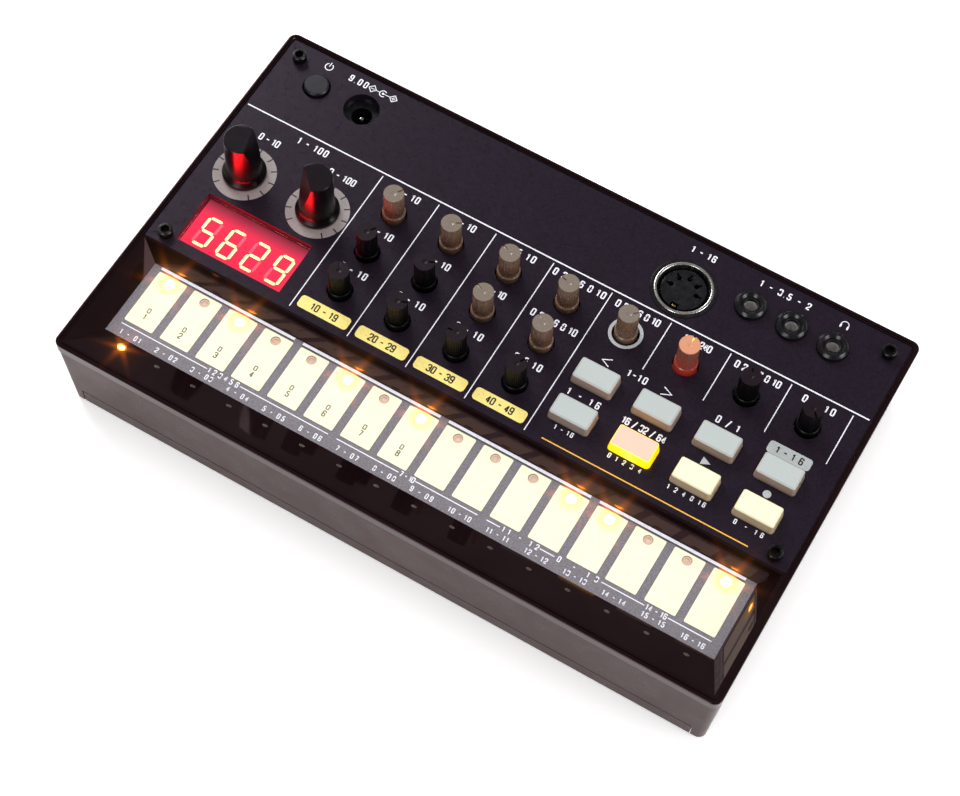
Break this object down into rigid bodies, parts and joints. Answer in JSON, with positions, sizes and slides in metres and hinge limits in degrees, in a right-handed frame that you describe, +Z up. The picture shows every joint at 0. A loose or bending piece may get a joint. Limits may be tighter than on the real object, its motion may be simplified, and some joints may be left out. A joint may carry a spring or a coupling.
{
  "type": "drum machine",
  "caption": "Table-top drum machine: a drafted case with a touch keyboard in a trough, knobs, push keys, a digit display and sockets for sync, headphones and power.",
  "frame": {"origin": "on the table, under the middle of the case", "axes": "+X to the player's right along the case, +Y away from the player to the sockets, +Z up"},
  "size_m": [0.1936, 0.1158, 0.0458],
  "materials": {
    "smoked_gloss": "gloss",
    "panel_black": "fine texture",
    "keyboard_grey": "speckled satin",
    "pad_cream": "satin",
    "lamp_amber": "clear",
    "foot_rubber": "matte",
    "black_steel": "black oxide",
    "plain_steel": "plain",
    "circuit_green": "solder mask",
    "inner_grey": "satin",
    "window_red": "clear red",
    "black_satin": "satin",
    "black_gloss": "gloss",
    "bright_metal": "polished",
    "shaft_metal": "turned",
    "cone_black": "paper",
    "cell_jacket": "printed sleeve",
    "clear_grey": "clear, warm grey",
    "clear_red": "clear, lit red",
    "key_grey": "satin",
    "key_cream": "satin",
    "key_amber": "lit",
    "key_blue": "satin"
  },
  "bodies": {
    "housing": {"top_frame": "smoked_gloss", "control_panel": "panel_black", "lower_case": "smoked_gloss", "bottom_cover": "smoked_gloss", "touch_board": "keyboard_grey", "touch_pads": "pad_cream", "step_lamps": "lamp_amber", "rubber_feet": "foot_rubber", "panel_screws": "black_steel", "bottom_screws": "plain_steel", "board_screws": "plain_steel", "main_board": "circuit_green", "small_pots": "inner_grey", "large_pots": "inner_grey", "push_switches": "inner_grey", "display_window": "window_red", "display_module": "inner_grey", "supply_socket": "black_satin", "supply_pin": "bright_metal", "din_socket": "black_satin", "din_shell": "bright_metal", "sync_in_jack": "black_satin", "sync_out_jack": "black_satin", "headphone_jack": "black_satin", "jack_sleeves": "bright_metal", "speaker_frame": "plain_steel", "speaker_cone": "cone_black", "battery_cells": "cell_jacket", "battery_contacts": "bright_metal"},
    "kick_click_knob": {"kick_click_knob": "clear_grey"},
    "kick_pitch_knob": {"kick_pitch_knob": "black_satin"},
    "kick_decay_knob": {"kick_decay_knob": "black_satin"},
    "snare_snap_knob": {"snare_snap_knob": "clear_grey"},
    "snare_pitch_knob": {"snare_pitch_knob": "black_satin"},
    "snare_decay_knob": {"snare_decay_knob": "black_satin"},
    "tom_high_knob": {"tom_high_knob": "clear_grey"},
    "tom_low_knob": {"tom_low_knob": "clear_grey"},
    "tom_decay_knob": {"tom_decay_knob": "black_satin"},
    "hat_closed_knob": {"hat_closed_knob": "clear_grey"},
    "hat_open_knob": {"hat_open_knob": "clear_grey"},
    "hat_grain_knob": {"hat_grain_knob": "black_satin"},
    "sample_speed_knob": {"sample_speed_knob": "clear_grey"},
    "tempo_knob": {"tempo_knob": "clear_red"},
    "part_level_knob": {"part_level_knob": "black_satin"},
    "volume_knob": {"volume_knob": "black_satin"},
    "time_knob": {"time_knob_cap": "black_gloss", "time_knob_shaft": "shaft_metal"},
    "depth_knob": {"depth_knob_cap": "black_gloss", "depth_knob_shaft": "shaft_metal"},
    "part_back_button": {"part_back_button": "key_grey"},
    "part_next_button": {"part_next_button": "key_grey"},
    "mute_button": {"mute_button": "key_grey"},
    "function_button": {"function_button": "key_grey"},
    "memory_button": {"memory_button": "key_grey"},
    "step_mode_button": {"step_mode_button": "key_amber"},
    "play_button": {"play_button": "key_cream"},
    "record_button": {"record_button": "key_cream"},
    "power_button": {"power_button": "key_blue"},
    "battery_door": {"battery_door": "smoked_gloss"}
  },
  "joints": [
    {"name": "kick_click_knob_turn", "type": "hinge", "parent": "housing", "child": "kick_click_knob", "pos_m": [-0.0417, 0.0211, 0.0295], "axis": [0, 0, 1], "range_deg": [-105, 175]},
    {"name": "kick_pitch_knob_turn", "type": "hinge", "parent": "housing", "child": "kick_pitch_knob", "pos_m": [-0.0417, 0.0074, 0.0295], "axis": [0, 0, 1], "range_deg": [-105, 175]},
    {"name": "kick_decay_knob_turn", "type": "hinge", "parent": "housing", "child": "kick_decay_knob", "pos_m": [-0.0417, -0.0063, 0.0295], "axis": [0, 0, 1], "range_deg": [-165, 115]},
    {"name": "snare_snap_knob_turn", "type": "hinge", "parent": "housing", "child": "snare_snap_knob", "pos_m": [-0.0241, 0.0211, 0.0295], "axis": [0, 0, 1], "range_deg": [-80, 200]},
    {"name": "snare_pitch_knob_turn", "type": "hinge", "parent": "housing", "child": "snare_pitch_knob", "pos_m": [-0.0241, 0.0074, 0.0295], "axis": [0, 0, 1], "range_deg": [-75, 205]},
    {"name": "snare_decay_knob_turn", "type": "hinge", "parent": "housing", "child": "snare_decay_knob", "pos_m": [-0.0241, -0.0063, 0.0295], "axis": [0, 0, 1], "range_deg": [-70, 210]},
    {"name": "tom_high_knob_turn", "type": "hinge", "parent": "housing", "child": "tom_high_knob", "pos_m": [-0.0065, 0.0211, 0.0295], "axis": [0, 0, 1], "range_deg": [-205, 75]},
    {"name": "tom_low_knob_turn", "type": "hinge", "parent": "housing", "child": "tom_low_knob", "pos_m": [-0.0065, 0.0074, 0.0295], "axis": [0, 0, 1], "range_deg": [-205, 75]},
    {"name": "tom_decay_knob_turn", "type": "hinge", "parent": "housing", "child": "tom_decay_knob", "pos_m": [-0.0065, -0.0063, 0.0295], "axis": [0, 0, 1], "range_deg": [-235, 45]},
    {"name": "hat_closed_knob_turn", "type": "hinge", "parent": "housing", "child": "hat_closed_knob", "pos_m": [0.0111, 0.0211, 0.0295], "axis": [0, 0, 1], "range_deg": [-215, 65]},
    {"name": "hat_open_knob_turn", "type": "hinge", "parent": "housing", "child": "hat_open_knob", "pos_m": [0.0111, 0.0074, 0.0295], "axis": [0, 0, 1], "range_deg": [-190, 90]},
    {"name": "hat_grain_knob_turn", "type": "hinge", "parent": "housing", "child": "hat_grain_knob", "pos_m": [0.0111, -0.0063, 0.0295], "axis": [0, 0, 1], "range_deg": [-110, 170]},
    {"name": "sample_speed_knob_turn", "type": "hinge", "parent": "housing", "child": "sample_speed_knob", "pos_m": [0.0287, 0.0211, 0.0295], "axis": [0, 0, 1], "range_deg": [-85, 195]},
    {"name": "tempo_knob_turn", "type": "hinge", "parent": "housing", "child": "tempo_knob", "pos_m": [0.0463, 0.0211, 0.0295], "axis": [0, 0, 1], "range_deg": [-140, 140]},
    {"name": "part_level_knob_turn", "type": "hinge", "parent": "housing", "child": "part_level_knob", "pos_m": [0.0639, 0.0211, 0.0295], "axis": [0, 0, 1], "range_deg": [-155, 125]},
    {"name": "volume_knob_turn", "type": "hinge", "parent": "housing", "child": "volume_knob", "pos_m": [0.0815, 0.0211, 0.0295], "axis": [0, 0, 1], "range_deg": [0, 280]},
    {"name": "time_knob_turn", "type": "hinge", "parent": "housing", "child": "time_knob", "pos_m": [-0.0828, 0.0115, 0.0295], "axis": [0, 0, 1], "range_deg": [-65, 215]},
    {"name": "depth_knob_turn", "type": "hinge", "parent": "housing", "child": "depth_knob", "pos_m": [-0.0597, 0.0115, 0.0295], "axis": [0, 0, 1], "range_deg": [-275, 5]},
    {"name": "part_back_button_press", "type": "slide", "parent": "housing", "child": "part_back_button", "axis": [0, 0, -1], "range_m": [0, 0.0008], "stiffness_N_per_m": 800, "springref_m": -0.0005},
    {"name": "part_next_button_press", "type": "slide", "parent": "housing", "child": "part_next_button", "axis": [0, 0, -1], "range_m": [0, 0.0008], "stiffness_N_per_m": 800, "springref_m": -0.0005},
    {"name": "mute_button_press", "type": "slide", "parent": "housing", "child": "mute_button", "axis": [0, 0, -1], "range_m": [0, 0.0008], "stiffness_N_per_m": 800, "springref_m": -0.0005},
    {"name": "function_button_press", "type": "slide", "parent": "housing", "child": "function_button", "axis": [0, 0, -1], "range_m": [0, 0.0008], "stiffness_N_per_m": 800, "springref_m": -0.0005},
    {"name": "memory_button_press", "type": "slide", "parent": "housing", "child": "memory_button", "axis": [0, 0, -1], "range_m": [0, 0.0008], "stiffness_N_per_m": 800, "springref_m": -0.0005},
    {"name": "step_mode_button_press", "type": "slide", "parent": "housing", "child": "step_mode_button", "axis": [0, 0, -1], "range_m": [0, 0.0008], "stiffness_N_per_m": 800, "springref_m": -0.0005},
    {"name": "play_button_press", "type": "slide", "parent": "housing", "child": "play_button", "axis": [0, 0, -1], "range_m": [0, 0.0008], "stiffness_N_per_m": 800, "springref_m": -0.0005},
    {"name": "record_button_press", "type": "slide", "parent": "housing", "child": "record_button", "axis": [0, 0, -1], "range_m": [0, 0.0008], "stiffness_N_per_m": 800, "springref_m": -0.0005},
    {"name": "power_button_press", "type": "slide", "parent": "housing", "child": "power_button", "axis": [0, 0, -1], "range_m": [0, 0.0008], "stiffness_N_per_m": 800, "springref_m": -0.0005},
    {"name": "battery_door_hinge", "type": "hinge", "parent": "housing", "child": "battery_door", "pos_m": [0, -0.02105, 0.0014], "axis": [1, 0, 0], "range_deg": [0, 70]}
  ]
}
